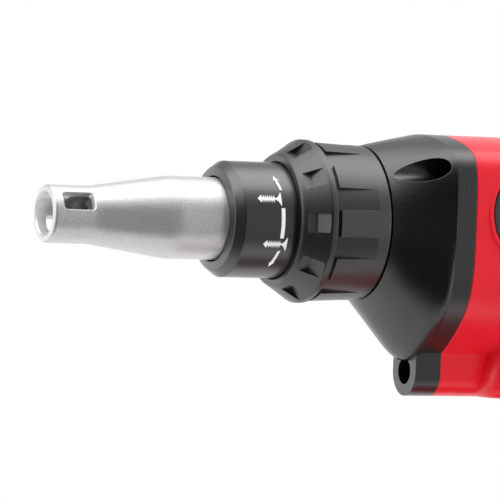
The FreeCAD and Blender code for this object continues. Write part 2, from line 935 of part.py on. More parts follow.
def bearing(outer, front):
    """Ball bearing as one ring with a shield groove on each face."""
    rear = front + bearing_width
    ring = tube_x(outer, shaft_radius + running_gap / 2, front, rear)
    groove_out = outer - 1.4
    groove_in = shaft_radius + 1.4
    front_groove = tube_x(groove_out, groove_in, front, front + 0.4)
    rear_groove = tube_x(groove_out, groove_in, rear - 0.4, rear)
    return ring.cut([front_groove, rear_groove])


front_bearing = bearing(front_bearing_radius, front_bearing_front)
rear_bearing = bearing(rear_bearing_radius, rear_bearing_front)
stator_core = tube_x(stator_radius, stator_radius - stator_yoke, stator_front, stator_rear)
tooth = box(
    stator_front, stator_rear, stator_bore_radius, stator_radius - stator_yoke / 2,
    -stator_tooth_width / 2, stator_tooth_width / 2,
)
shoe = box(
    stator_front, stator_rear, stator_bore_radius - 2, stator_bore_radius + stator_shoe_thickness,
    -stator_shoe_width / 2, stator_shoe_width / 2,
)
winding_block = box(
    stator_front - winding_overhang, stator_rear + winding_overhang, winding_inner_radius, winding_outer_radius,
    -winding_width / 2, winding_width / 2,
)
winding_window = box(
    stator_front - touch_gap, stator_rear + touch_gap, 0, stator_radius,
    -stator_tooth_width / 2 - touch_gap, stator_tooth_width / 2 + touch_gap,
)
winding = winding_block.cut(winding_window)
stator_parts = [stator_core]
winding_solids = []
for k in range(stator_teeth):
    heading = 360 * k / stator_teeth
    stator_parts.append(spun(tooth.fuse(shoe), heading))
    winding_solids.append(spun(winding, heading))
stator_core = joined(stator_parts).cut(rod_x(stator_bore_radius, stator_front - 1, stator_rear + 1))
stator_windings = Part.makeCompound(winding_solids)
sensor_board = tube_x(stator_radius - 0.6, board_inner_radius, board_front, board_front + board_thickness)
blade = box(
    fan_front + fan_disc / 2, fan_rear, fan_hub_radius - 1, fan_radius - 0.4,
    -fan_blade_thickness / 2, fan_blade_thickness / 2,
)
fan_parts = [
    rod_x(fan_hub_radius, fan_front, fan_rear),
    rod_x(fan_radius, fan_front, fan_front + fan_disc),
]
for k in range(fan_blades):
    swept = blade.copy()
    swept.rotate(vec(0, fan_hub_radius, 0), AXIS_X, 25)
    fan_parts.append(spun(swept, 360 * k / fan_blades))
cooling_fan = joined(fan_parts).cut(rod_x(shaft_radius, fan_front - 1, fan_rear + 1))
cooling_fan = cooling_fan.common(rod_x(fan_radius, fan_front, fan_rear))


# Housing outer form: barrel with its chin, keel, trigger block, grip and foot
def oval_loop(z, center, half_depth, half_width, squareness, count=40):
    points = []
    for step in range(count):
        angle = 2 * math.pi * step / count
        c = math.cos(angle)
        s = math.sin(angle)
        x = half_depth * math.copysign(abs(c) ** (2 / squareness), c)
        y = half_width * math.copysign(abs(s) ** (2 / squareness), s)
        points.append(vec(center + x, y, z))
    return smooth_loop(points)


def block_loop(z, inset):
    setback = block_top_setback * (z - block_bottom) / 30.0
    front = block_front + setback + inset
    rear = block_rear - inset
    return oval_loop(z, (front + rear) / 2, (rear - front) / 2, block_half_width - inset, 5.0)


def grip_center(z):
    return grip_top_center - grip_lean * (z - block_bottom)


def grip_loop(z, inset):
    swell = 1.0 + 0.05 * math.cos(2 * math.pi * (z + 88) / 80)
    half_depth = (grip_half_depth - 1.2) * swell - inset
    half_width = (grip_half_width - 0.6) * swell - inset
    return oval_loop(z, grip_center(z), half_depth, half_width, 2.6)


def grip_loft(top, bottom, inset):
    stations = [top + (bottom - top) * step / 6 for step in range(7)]
    return Part.makeLoft([grip_loop(z, inset) for z in stations], True, False)


barrel_stations = (split_chamfer, chin_hold, 26.0, 38.0, 50.0, 63.0, chin_fade_end, 82.0, barrel_rear)
barrel_outer = barrel(barrel_stations)
barrel_edge = Part.makeLoft([section_loop(0, split_chamfer), section_loop(split_chamfer)], True, True)
housing_keel = prism_x(keel_outline, 0, block_front + 12)
block_outer = Part.makeLoft([
    block_loop(-16.0, 0), block_loop(-26.0, 0), block_loop(-36.0, 0), block_loop(-43.0, 0),
    block_loop(-46.0, 1.2), block_loop(block_bottom, 3.6),
], True, False)
grip_outer = grip_loft(-36.0, grip_bottom, 0)
foot_outer = prism_z(
    rectangle(foot_front, foot_rear, -foot_half_width, foot_half_width, foot_round), foot_bottom, foot_top,
)
foot_top_edges = []
for edge in foot_outer.Edges:
    if abs(edge.BoundBox.ZMin - foot_top) < 1e-6:
        foot_top_edges.append(edge)
foot_outer = foot_outer.makeFillet(5.0, foot_top_edges)

# Grip covers: soft sleeves let into the grip
cover_region = box(0, 120, -40, 40, grip_cover_bottom, grip_cover_step).fuse(
    box(grip_cover_front, 120, -40, 40, grip_cover_step - 1, grip_cover_top)
)
cover_core = grip_loft(-36.0, grip_bottom, grip_cover_thickness)
grip_cover = grip_outer.common(cover_region).cut(cover_core)
left_side = box(-200, 200, -100, 0, -250, 100)
right_side = box(-200, 200, 0, 100, -250, 100)

# Side panels: plain ovals let into the barrel behind a raised rim, all crowned like the barrel's side
def panel_prism(growth):
    low = panel_height - panel_half_height - growth
    high = panel_height + panel_half_height + growth
    corners = rectangle(panel_front - growth, panel_rear + growth, low, high, panel_half_height + growth - 0.2)
    return prism_y(corners, side_distance - 5, side_distance + 5)


def panel_crown(rise):
    middle = panel_crown_peak - panel_crown_radius
    return rod_x(
        panel_crown_radius + rise, panel_front - 5, panel_rear + 5, middle, panel_crown_height,
    )


def crown_edges(shape, rise):
    """Edges that lie on the crowned face a given rise above the crown."""
    found = []
    for edge in shape.Edges:
        middle = edge.valueAt((edge.FirstParameter + edge.LastParameter) / 2)
        points = [v.Point for v in edge.Vertexes] + [middle]
        reach = [
            math.hypot(p.y - panel_crown_peak + panel_crown_radius, p.z - panel_crown_height) for p in points
        ]
        if all(abs(r - panel_crown_radius - rise) < 1e-3 for r in reach):
            found.append(edge)
    return found


panel_floor = panel_crown(-panel_depth)
side_panel_right = panel_prism(0).common(panel_crown(panel_rise)).cut(panel_floor)
side_panel_right = side_panel_right.makeFillet(panel_edge_round, crown_edges(side_panel_right, panel_rise))
panel_rim_right = panel_prism(panel_rim).common(panel_crown(panel_rim_rise))
panel_rim_right = panel_rim_right.makeFillet(panel_rim_round, crown_edges(panel_rim_right, panel_rim_rise))
panel_pocket_right = panel_prism(panel_gap).cut(panel_floor)

housing_outer = joined([
    barrel_outer, barrel_edge, housing_keel, block_outer, grip_outer, foot_outer,
    panel_rim_right, mirrored(panel_rim_right),
])

# Housing rooms
motor_room = rod_x(motor_room_radius, -1, motor_room_rear)
block_room = Part.makeLoft([
    block_loop(-16.0, block_wall), block_loop(-30.0, block_wall), block_loop(-44.0, block_wall),
], True, False)
grip_room = grip_loft(-38.0, -119.0, grip_wall)
foot_room = prism_z(
    rectangle(
        foot_front + foot_wall, foot_rear - foot_wall,
        -foot_half_width + foot_wall, foot_half_width - foot_wall, foot_round - foot_wall,
    ), foot_floor, foot_top - foot_wall,
)
channel_throat = foot_bottom + channel_lip
channel = box(
    channel_front, channel_rear, -channel_half_width, channel_half_width, channel_throat, channel_top,
).fuse(box(
    channel_front, channel_rear, -channel_mouth_half_width, channel_mouth_half_width,
    foot_bottom - 1, channel_throat + 1,
))
trigger_mouth = box(
    trigger_front, trigger_rear, -trigger_half_width - sliding_gap, trigger_half_width + sliding_gap,
    trigger_bottom - 0.5, trigger_top + 0.5,
)
bar_low = bar_height - bar_thickness / 2
bar_high = bar_height + bar_thickness / 2
bar_slot = prism_y(
    rectangle(
        bar_center - bar_length / 2 - sliding_gap, bar_center + bar_length / 2 + sliding_gap,
        bar_low - sliding_gap, bar_high + sliding_gap, 2.6,
    ), -30, 30,
)
lock_hole = rod_y(lock_radius + sliding_gap, -30, 0, lock_center, lock_height)
vents = []
for front, rear, lowest, count in (
    (fan_vent_front, fan_vent_rear, fan_vent_lowest, fan_vent_count),
    (tail_vent_front, tail_vent_rear, tail_vent_lowest, tail_vent_count),
):
    for row in range(count):
        middle = lowest + vent_pitch * row
        outline = rectangle(front, rear, middle - vent_half_height, middle + vent_half_height, vent_round)
        vents.append(prism_y(outline, -40, 40))
housing_shell = housing_outer.cut([motor_room, block_room, grip_room, foot_room])
housing_shell = housing_shell.cut(
    [channel, trigger_mouth, bar_slot, lock_hole, grip_cover, panel_pocket_right, mirrored(panel_pocket_right)]
    + vents + housing_screw_bores
)

# Inner ribs and bosses
rib_root_radius = motor_room_radius + 0.6
cradles = []
for station in (cradle_front, cradle_rear):
    cradles.append(tube_x(rib_root_radius, stator_radius + running_gap, station, station + cradle_width))
bulkhead = tube_x(rib_root_radius, rear_bearing_radius + 0.02, bulkhead_front, bulkhead_rear)
bulkhead_vents = []
for k in range(6):
    bulkhead_vents.append(spun(rod_x(3.6, bulkhead_front - 1, bulkhead_rear + 1, 14.5, 0), 60 * k + 30))
bulkhead = bulkhead.cut(bulkhead_vents)
bosses = []
boss_bores = []
boss_counterbores = []
screw_solids = []
for x, z, wall in boss_places:
    bosses.append(rod_y(housing_boss_radius, -wall, wall, x, z))
    head_seat = wall - housing_screw_set_in
    boss_bores.append(rod_y(housing_screw_radius + running_gap, housing_screw_end - 0.5, head_seat + 1, x, z))
    boss_counterbores.append(rod_y(housing_screw_head_radius + 0.2, head_seat, 40, x, z))
    screw_head = rod_y(
        housing_screw_head_radius, head_seat, head_seat + housing_screw_head_height, x, z
    )
    screw_drive = prism_y(
        hexagon(x, z, housing_screw_drive), head_seat + 0.8, head_seat + housing_screw_head_height + 0.1,
    )
    screw_shank = rod_y(housing_screw_radius, housing_screw_end, head_seat, x, z)
    screw_solids.append(screw_head.cut(screw_drive).fuse(screw_shank).removeSplitter())
housing_screws = Part.makeCompound(screw_solids)
hook_hole_end = foot_half_width - hook_hole_depth
hook_boss = rod_y(hook_boss_radius, hook_hole_end - 1.5, foot_half_width - 2, hook_center, hook_height)
hook_bore = rod_y(hook_hole_radius, hook_hole_end, foot_half_width + 1, hook_center, hook_height)
housing_solid = joined([housing_shell, bulkhead] + cradles + bosses + [hook_boss, mirrored(hook_boss)])
housing_solid = housing_solid.cut(boss_bores + boss_counterbores + [hook_bore, mirrored(hook_bore)])
housing_left = housing_solid.common(left_side)
housing_right = housing_solid.common(right_side)
grip_cover_left = grip_cover.common(left_side)
grip_cover_right = grip_cover.common(right_side).cut(boss_counterbores)
side_panel_left = mirrored(side_panel_right)

# Rear bumper: a soft cap on the barrel's end
tail_floor = tail_floor_distance
bumper_loops = []
for share, scale in ((0.0, 0.95), (0.4, 0.93), (0.75, 0.87), (1.0, 0.76)):
    station = barrel_rear + (bumper_rear - barrel_rear) * share
    bumper_loops.append(section_loop(station, 0, tail_floor, tail_floor, scale))
rear_bumper = Part.makeLoft(bumper_loops, True, False)

# Trigger with its concave finger face, spring and switch
trigger = prism_y([
    (trigger_front + 3.0, trigger_top, 2.0),
    (trigger_front + 4.4, (trigger_top + trigger_bottom) / 2 + 2, 16.0),
    (trigger_front, trigger_bottom + 3.5, 2.2),
    (trigger_front + 4.0, trigger_bottom, 2.5),
    (trigger_rear, trigger_bottom, 0),
    (trigger_rear, trigger_top, 0),
], -trigger_half_width, trigger_half_width)
trigger_edges = []
for edge in trigger.Edges:
    bounds = edge.BoundBox
    if bounds.YLength < 1e-6 and bounds.XMax < trigger_front + 5 and bounds.XMin < trigger_front + 4.9:
        trigger_edges.append(edge)
trigger = trigger.makeFillet(1.2, trigger_edges)
spring_seat = trigger_rear - trigger_spring_hole_depth
trigger = trigger.cut(
    rod_x(trigger_spring_hole_radius, spring_seat, trigger_rear + 1, 0, trigger_spring_height)
)
trigger_spring = coil(
    vec(spring_seat + spring_wire_radius + touch_gap, 0, trigger_spring_height), AXIS_X,
    switch_front - spring_seat - 2 * spring_wire_radius - 2 * touch_gap,
    trigger_spring_radius, spring_wire_radius, 6,
)
trigger_switch = prism_y(
    rectangle(switch_front, switch_rear, switch_bottom, switch_top, 1.5), -switch_half_width, switch_half_width,
)
reversing_bar = prism_y(
    rectangle(bar_center - bar_length / 2, bar_center + bar_length / 2, bar_low, bar_high, 2.2),
    -bar_half_reach, bar_half_reach,
)
bar_end_edges = [e for e in reversing_bar.Edges if e.BoundBox.YLength < 1e-6]
reversing_bar = reversing_bar.makeFillet(0.9, bar_end_edges)
lock_button = rod_y(lock_radius, -lock_reach, -lock_root, lock_center, lock_height)
lock_rim = [e for e in lock_button.Edges if e.BoundBox.YLength < 1e-6 and e.BoundBox.YMax < -lock_reach + 0.1]
lock_button = lock_button.makeFillet(0.8, lock_rim)
lock_button = lock_button.fuse(
    rod_y(lock_flange_radius, -lock_root, -lock_root + lock_flange_thickness, lock_center, lock_height)
).removeSplitter()
lock_spring_seat = lock_root - lock_flange_thickness
lock_spring = coil(
    vec(lock_center, -lock_spring_seat + lock_wire_radius + touch_gap, lock_height), AXIS_Y,
    lock_spring_seat - switch_half_width - 2 * lock_wire_radius - 2 * touch_gap,
    lock_spring_radius, lock_wire_radius, 2,
)

# Control board and battery terminals in the foot, and the battery's contacts round the terminals
control_board = box(30.0, 84.0, -20.0, 20.0, foot_floor + touch_gap, foot_floor + touch_gap + 1.6)
heat_sink = box(36.0, 58.0, -12.0, 12.0, foot_floor + 1.0, foot_floor + 3.4)
control_board = control_board.fuse(heat_sink).removeSplitter()
rail_head_low = channel_throat + 0.4
rail_head_high = channel_top - 0.4
blade_middle = (rail_head_low + rail_head_high) / 2
terminal_block = box(
    rail_rear + 1.0, channel_rear - touch_gap, -20.0, 20.0, channel_throat + 0.6, channel_top - touch_gap,
)
terminal_parts = [terminal_block]
blade_slots = []
contact_solids = []
for k in range(blade_count):
    y = blade_pitch * (k - (blade_count - 1) / 2)
    terminal_parts.append(box(
        blade_front, rail_rear + 2.0, y - blade_thickness / 2, y + blade_thickness / 2,
        blade_middle - blade_height / 2, blade_middle + blade_height / 2,
    ))
    slot_half_width = contact_half_width + running_gap
    slot_half_height = blade_height / 2 + 2 * contact_leaf
    blade_slots.append(box(
        blade_front - 2.0, rail_rear + 1.0, y - slot_half_width, y + slot_half_width,
        blade_middle - slot_half_height, blade_middle + slot_half_height,
    ))
    contact_inside = contact_half_width - contact_leaf
    contact_low = blade_middle - slot_half_height
    contact_end = blade_front + contact_length
    contact_block = box(
        blade_front, contact_end, y - contact_half_width, y + contact_half_width,
        contact_low, blade_middle + blade_height / 2,
    )
    contact_solids.append(contact_block.cut(box(
        blade_front - 1, contact_end + 1, y - contact_inside, y + contact_inside,
        contact_low + contact_leaf, blade_middle + blade_height,
    )))
terminal_block = joined(terminal_parts)
battery_contacts = Part.makeCompound(contact_solids)

# Belt hook: a bent strip on the right side of the foot
hook_near = foot_half_width + touch_gap / 2
hook_inner = hook_near + hook_thickness
hook_outer = hook_inner + hook_gap
belt_hook = prism_x([
    (hook_near, hook_plate_top, 0),
    (hook_near, hook_plate_bottom, 3.0),
    (hook_outer + hook_thickness, hook_plate_bottom, 3.4),
    (hook_outer + hook_thickness, hook_arm_top - 8.0, 8.0),
    (hook_outer + hook_thickness + 2.0, hook_arm_top, 0),
    (hook_outer + 2.0, hook_arm_top, 0),
    (hook_outer, hook_arm_top - 8.0, 8.0),
    (hook_outer, hook_plate_bottom + hook_thickness, 1.6),
    (hook_inner, hook_plate_bottom + hook_thickness, 1.2),
    (hook_inner, hook_plate_top, 0),
], hook_center - hook_width / 2, hook_center + hook_width / 2)
belt_hook = belt_hook.cut(
    rod_y(hook_hole_radius + 0.2, hook_near - 1, hook_inner + 1, hook_center, hook_height)
)
hook_screw = rod_y(
    hook_hole_radius - running_gap, hook_hole_end + 0.6, hook_inner, hook_center, hook_height
).fuse(rod_y(hook_screw_head_radius, hook_inner, hook_inner + 2.2, hook_center, hook_height)).removeSplitter()
hook_screw = hook_screw.cut(prism_y(
    hexagon(hook_center, hook_height, hook_screw_drive), hook_inner + 0.7, hook_inner + 3,
))

# Battery: two case halves round a row of cells, a rail on top and a latch button on each side
battery_bottom = -spindle_height
battery_front = battery_center - battery_length / 2
battery_rear = battery_center + battery_length / 2
battery_outline = rectangle(battery_front, battery_rear, -battery_half_width, battery_half_width, battery_round)
battery_room_outline = rectangle(
    battery_front + battery_wall, battery_rear - battery_wall, -battery_half_width + battery_wall,
    battery_half_width - battery_wall, battery_round - battery_wall,
)
battery_lower = prism_z(battery_outline, battery_bottom, battery_joint)
lower_edges = [e for e in battery_lower.Edges if abs(e.BoundBox.ZMax - battery_bottom) < 1e-6]
battery_lower = battery_lower.makeFillet(battery_edge_round, lower_edges)
battery_lower = battery_lower.cut(
    prism_z(battery_room_outline, battery_bottom + battery_wall, battery_joint + 1)
)
battery_upper = prism_z(battery_outline, battery_joint, battery_top)
upper_edges = [e for e in battery_upper.Edges if abs(e.BoundBox.ZMin - battery_top) < 1e-6]
battery_upper = battery_upper.makeFillet(battery_edge_round, upper_edges)
battery_upper = battery_upper.cut(prism_z(battery_room_outline, battery_joint - 1, battery_top - battery_wall))
rail_neck = box(
    rail_front, rail_rear, -channel_mouth_half_width + rail_side_gap, channel_mouth_half_width - rail_side_gap,
    battery_top - 1.0, rail_head_high,
)
rail_head = box(
    rail_front, rail_rear, -channel_half_width + rail_side_gap, channel_half_width - rail_side_gap,
    rail_head_low, rail_head_high,
)
latch_rear = latch_front + latch_length
latch_bottom = latch_top - latch_height
latch_face = battery_half_width + latch_rise
latch_back = latch_face - latch_depth
latch_pocket_back = battery_half_width - latch_pocket_depth
latch_housing = box(
    latch_front - 2.0, latch_rear + 2.0, latch_pocket_back - 1.6, battery_half_width - 1.0,
    latch_bottom - 2.0, latch_top + 2.0,
)
latch_pocket = box(
    latch_front - loose_gap, latch_rear + loose_gap, latch_pocket_back, battery_half_width + 1,
    latch_bottom - loose_gap, latch_top + loose_gap,
)
latch_right = prism_y(
    rectangle(latch_front, latch_rear, latch_bottom, latch_top, 2.0), latch_back, latch_face,
)
latch_rim = [e for e in latch_right.Edges if e.BoundBox.YLength < 1e-6 and e.BoundBox.YMax > latch_face - 0.1]
latch_right = latch_right.makeFillet(0.9, latch_rim)
latch_left = mirrored(latch_right)
latch_middle = (latch_front + latch_rear) / 2
latch_level = (latch_bottom + latch_top) / 2
latch_spring_right = coil(
    vec(latch_middle, latch_pocket_back + latch_wire_radius + touch_gap, latch_level), AXIS_Y,
    latch_back - latch_pocket_back - 2 * latch_wire_radius - 2 * touch_gap,
    latch_spring_radius, latch_wire_radius, 3,
)
latch_spring_left = mirrored(latch_spring_right)
battery_upper = joined([battery_upper, rail_neck, rail_head, latch_housing, mirrored(latch_housing)])
battery_upper = battery_upper.cut(blade_slots + [latch_pocket, mirrored(latch_pocket)])
cells = []
cell_level = battery_bottom + battery_wall + touch_gap + cell_radius
for k in range(cell_count):
    x = battery_center + cell_pitch * (k - (cell_count - 1) / 2)
    cells.append(rod_y(cell_radius, -cell_length / 2, cell_length / 2, x, cell_level))
battery_cells = Part.makeCompound(cells)

# Write every piece in the finished frame
pieces = {
    "nose_cone": nose_cone,
    "nose_o_ring": nose_o_ring,
    "depth_collar": depth_collar,
    "adjust_ring": adjust_ring,
    "ring_clip": ring_clip,
    "ring_washer": ring_washer,
    "gear_case": gear_case,
    "gear_case_screws": gear_case_screws,
    "spindle": spindle,
    "bit_magnet": bit_magnet,
    "spindle_bush": spindle_bush,
    "thrust_washer": thrust_washer,
    "clutch_spring": clutch_spring,
    "planet_carrier": planet_carrier,
    "planet_keeper": planet_keeper,
    "carrier_bush": carrier_bush,
    "planet_gear_top": planet_gears[0],
    "planet_gear_left": planet_gears[1],
    "planet_gear_right": planet_gears[2],
    "sun_pinion": sun_pinion,
    "ring_gear": ring_gear,
    "rotor_shaft": rotor_shaft,
    "rotor_core": rotor_core,
    "cooling_fan": cooling_fan,
    "motor_plate": motor_plate,
    "front_bearing": front_bearing,
    "rear_bearing": rear_bearing,
    "stator_core": stator_core,
    "stator_windings": stator_windings,
    "sensor_board": sensor_board,
    "housing_left": housing_left,
    "housing_right": housing_right,
    "housing_screws": housing_screws,
    "grip_cover_left": grip_cover_left,
    "grip_cover_right": grip_cover_right,
    "side_panel_left": side_panel_left,
    "side_panel_right": side_panel_right,
    "rear_bumper": rear_bumper,
    "trigger": trigger,
    "trigger_spring": trigger_spring,
    "trigger_switch": trigger_switch,
    "reversing_bar": reversing_bar,
    "lock_button": lock_button,
    "lock_spring": lock_spring,
    "control_board": control_board,
    "terminal_block": terminal_block,
    "belt_hook": belt_hook,
    "hook_screw": hook_screw,
    "battery_upper": battery_upper,
    "battery_lower": battery_lower,
    "battery_cells": battery_cells,
    "battery_contacts": battery_contacts,
    "latch_left": latch_left,
    "latch_right": latch_right,
    "latch_spring_left": latch_spring_left,
    "latch_spring_right": latch_spring_right,
}
os.makedirs("parts", exist_ok=True)
for name, shape in pieces.items():
    placed = shape.copy()
    placed.translate(vec(-battery_center, 0, spindle_height))
    placed.exportStep("parts/" + name + ".step")
    print(name, len(placed.Solids), placed.isValid(), round(placed.Volume, 1))
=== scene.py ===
import bpy
import bmesh
import math
from mathutils import Matrix, Vector


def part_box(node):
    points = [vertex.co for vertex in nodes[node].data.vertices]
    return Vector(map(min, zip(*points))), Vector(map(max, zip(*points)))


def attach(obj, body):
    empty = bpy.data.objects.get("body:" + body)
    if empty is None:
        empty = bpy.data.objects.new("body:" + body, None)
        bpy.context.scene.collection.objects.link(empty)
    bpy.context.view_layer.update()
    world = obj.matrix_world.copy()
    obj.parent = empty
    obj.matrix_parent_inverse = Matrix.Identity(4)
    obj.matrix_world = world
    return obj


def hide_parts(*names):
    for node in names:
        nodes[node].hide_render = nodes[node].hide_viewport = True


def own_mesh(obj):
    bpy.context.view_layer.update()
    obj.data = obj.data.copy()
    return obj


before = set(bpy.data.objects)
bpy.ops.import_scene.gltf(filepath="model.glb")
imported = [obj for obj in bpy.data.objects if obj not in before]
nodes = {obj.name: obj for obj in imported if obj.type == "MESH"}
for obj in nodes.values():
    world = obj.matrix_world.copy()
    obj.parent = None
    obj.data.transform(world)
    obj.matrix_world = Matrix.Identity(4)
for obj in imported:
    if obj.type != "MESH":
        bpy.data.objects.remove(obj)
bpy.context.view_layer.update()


# Motor: a stack of iron laminations with six enamelled copper coils, and a rotor on a ground
# steel shaft. The coils are wound on the stator teeth, and the shaft runs in two ball bearings
# held by a die-cast plate in front and a bulkhead behind.

def add_node(tree, kind, inputs=None, **settings):
    """Add a shader node, set its options, and fill its inputs by value or by link."""
    made = tree.nodes.new(kind)
    for key, value in settings.items():
        setattr(made, key, value)
    for key, value in (inputs or {}).items():
        if isinstance(value, bpy.types.NodeSocket):
            tree.links.new(value, made.inputs[key])
        else:
            made.inputs[key].default_value = value
    return made


def maths(tree, operation, *values):
    """The result of one step of arithmetic on numbers or sockets."""
    return add_node(tree, "ShaderNodeMath", dict(enumerate(values)), operation=operation).outputs[0]


def remap(tree, value, start, end, low=0.0, high=1.0, **settings):
    """A value carried from one range to another and held at its ends."""
    made = add_node(tree, "ShaderNodeMapRange", {
        "Value": value, "From Min": start, "From Max": end, "To Min": low, "To Max": high}, **settings)
    return made.outputs["Result"]


def new_group(name, inputs, outputs):
    """An empty shader node group with named value inputs and outputs."""
    tree = bpy.data.node_groups.new(name, "ShaderNodeTree")
    for key, value in inputs.items():
        socket = tree.interface.new_socket(key, in_out="INPUT", socket_type="NodeSocketFloat")
        socket.default_value = value
    for key in outputs:
        tree.interface.new_socket(key, in_out="OUTPUT", socket_type="NodeSocketFloat")
    return tree, tree.nodes.new("NodeGroupInput").outputs, tree.nodes.new("NodeGroupOutput").inputs


def placed_group(tree, group, **inputs):
    """One use of a node group in a material, with its own values."""
    made = tree.nodes.new("ShaderNodeGroup")
    made.node_tree = group
    for key, value in inputs.items():
        made.inputs[key.replace("_", " ")].default_value = value
    return made.outputs


def new_material(name, **values):
    """A material with a Principled shader whose plain values are set on its own sockets."""
    material = bpy.data.materials.new(name)
    material.use_nodes = True
    tree = material.node_tree
    shader = tree.nodes["Principled BSDF"]
    for key, value in values.items():
        shader.inputs[key.replace("_", " ")].default_value = value
    return material, tree, shader


def tone_ramp(tree, tone, dark, light):
    """Colour that drifts between two shades with a tone from 0 to 1."""
    ramp = add_node(tree, "ShaderNodeValToRGB", {"Fac": tone})
    ramp.color_ramp.elements[0].color = (*dark, 1.0)
    ramp.color_ramp.elements[1].color = (*light, 1.0)
    return ramp.outputs["Color"]


def tone_colour(tree, shader, tone, dark, light):
    """Base colour that drifts between two shades."""
    tree.links.new(tone_ramp(tree, tone, dark, light), shader.inputs["Base Color"])


def tone_roughness(tree, shader, tone, low, high):
    """Roughness that drifts between two values with a tone from 0 to 1."""
    tree.links.new(remap(tree, tone, 0.0, 1.0, low, high), shader.inputs["Roughness"])


edge_round = 0.0002


def relief(tree, shader, height, depth):
    """Surface relief of a real depth, in metres, from a height from 0 to 1, on softly rounded edges."""
    edge = add_node(tree, "ShaderNodeBevel", {"Radius": edge_round}, samples=4)
    bump = add_node(tree, "ShaderNodeBump", {
        "Height": height, "Distance": depth, "Normal": edge.outputs["Normal"]})
    tree.links.new(bump.outputs["Normal"], shader.inputs["Normal"])


def paint(material, *names):
    """Give CAD nodes a material in place of the plain one they came with."""
    for name in names:
        mesh = nodes[name].data
        mesh.materials.clear()
        mesh.materials.append(material)


# Grain of moulded or blasted surfaces: fine bumps of one size, and a slow drift in tone
grain_group, grain_in, grain_out = new_group(
    "fine_grain", {"Grain Size": 0.0004, "Drift Size": 0.02}, ("Height", "Tone"))
grain_place = add_node(grain_group, "ShaderNodeTexCoord").outputs["Object"]
for size_name, out_name in (("Grain Size", "Height"), ("Drift Size", "Tone")):
    noise = add_node(grain_group, "ShaderNodeTexNoise", {
        "Vector": grain_place, "Scale": maths(grain_group, "DIVIDE", 1.0, grain_in[size_name]),
        "Detail": 2.0, "Roughness": 0.55})
    grain_group.links.new(noise.outputs["Fac"], grain_out[out_name])

# Lines left by a lathe or by stacked sheets: fine bands along the spindle axis
tone_patches = 90.0
line_group, line_in, line_out = new_group(
    "axial_lines", {"Pitch": 0.0003, "Waver": 0.02}, ("Height", "Tone"))
line_place = add_node(line_group, "ShaderNodeTexCoord").outputs["Object"]
line_axes = add_node(line_group, "ShaderNodeSeparateXYZ", {"Vector": line_place})
line_waver = add_node(line_group, "ShaderNodeVectorMath", {
    0: line_place, "Scale": line_in["Waver"]}, operation="SCALE")
line_across = add_node(line_group, "ShaderNodeSeparateXYZ", {"Vector": line_waver.outputs["Vector"]})
line_point = add_node(line_group, "ShaderNodeCombineXYZ", {
    "X": maths(line_group, "DIVIDE", line_axes.outputs["X"], line_in["Pitch"]),
    "Y": line_across.outputs["Y"], "Z": line_across.outputs["Z"]})
line_noise = add_node(line_group, "ShaderNodeTexNoise", {
    "Vector": line_point.outputs["Vector"], "Scale": 1.0, "Detail": 3.0, "Roughness": 0.6})
line_group.links.new(line_noise.outputs["Fac"], line_out["Height"])
line_slow = add_node(line_group, "ShaderNodeTexNoise", {
    "Vector": line_place, "Scale": tone_patches, "Detail": 2.0})
line_group.links.new(line_slow.outputs["Fac"], line_out["Tone"])

lamination_pitch = 0.0005
iron, tree, shader = new_material("laminated_iron", Metallic=1.0)
lines = placed_group(tree, line_group, Pitch=lamination_pitch, Waver=0.02)
tone_colour(tree, shader, lines["Height"], dark=(0.10, 0.10, 0.11), light=(0.24, 0.24, 0.25))
tone_roughness(tree, shader, lines["Tone"], low=0.42, high=0.62)
relief(tree, shader, lines["Height"], depth=0.00008)
paint(iron, "rotor_core", "stator_core")

wire_pitch = 0.0007
copper, tree, shader = new_material("enamelled_copper", Metallic=1.0, Coat_Weight=0.6, Coat_Roughness=0.2)
lines = placed_group(tree, line_group, Pitch=wire_pitch, Waver=0.0)
tone_colour(tree, shader, lines["Height"], dark=(0.36, 0.10, 0.035), light=(0.74, 0.30, 0.12))
tone_roughness(tree, shader, lines["Tone"], low=0.25, high=0.4)
relief(tree, shader, lines["Height"], depth=0.00025)
paint(copper, "stator_windings")

turning_depth = 0.00001


def turned_metal(name, dark, light, pitch, rough):
    """Bare metal with fine turning lines, and roughness between two values."""
    material, tree, shader = new_material(name, Metallic=1.0)
    lines = placed_group(tree, line_group, Pitch=pitch, Waver=0.02)
    tone_colour(tree, shader, lines["Tone"], dark, light)
    tone_roughness(tree, shader, lines["Height"], *rough)
    relief(tree, shader, lines["Height"], turning_depth)
    return material


ground_steel = turned_metal(
    "ground_steel", dark=(0.50, 0.50, 0.51), light=(0.62, 0.62, 0.63), pitch=0.0003, rough=(0.16, 0.34))
paint(ground_steel, "rotor_shaft", "front_bearing", "rear_bearing")
cast_plate = turned_metal(
    "die_cast_plate", dark=(0.50, 0.50, 0.51), light=(0.60, 0.60, 0.61), pitch=0.0009, rough=(0.38, 0.56))
paint(cast_plate, "motor_plate")

# Circuit boards: glass fibre under green lacquer, with faint tracks
track_count = 160.0
track_depth = 0.00004
board_lacquer, tree, shader = new_material("board_lacquer", Roughness=0.35)
place = add_node(tree, "ShaderNodeTexCoord").outputs["Object"]
tracks = add_node(tree, "ShaderNodeTexBrick", {
    "Vector": place, "Scale": track_count,
    "Color1": (0.010, 0.10, 0.035, 1), "Color2": (0.012, 0.13, 0.045, 1), "Mortar": (0.03, 0.22, 0.08, 1),
    "Mortar Size": 0.03, "Brick Width": 0.9, "Row Height": 0.3})
tree.links.new(tracks.outputs["Color"], shader.inputs["Base Color"])
relief(tree, shader, tracks.outputs["Fac"], track_depth)
paint(board_lacquer, "sensor_board")


# Cooling fan: a moulded black nylon wheel pressed on the motor shaft.
# It draws air in through the side slots and blows it out behind the rear bearing.

plastic_drift = 0.02


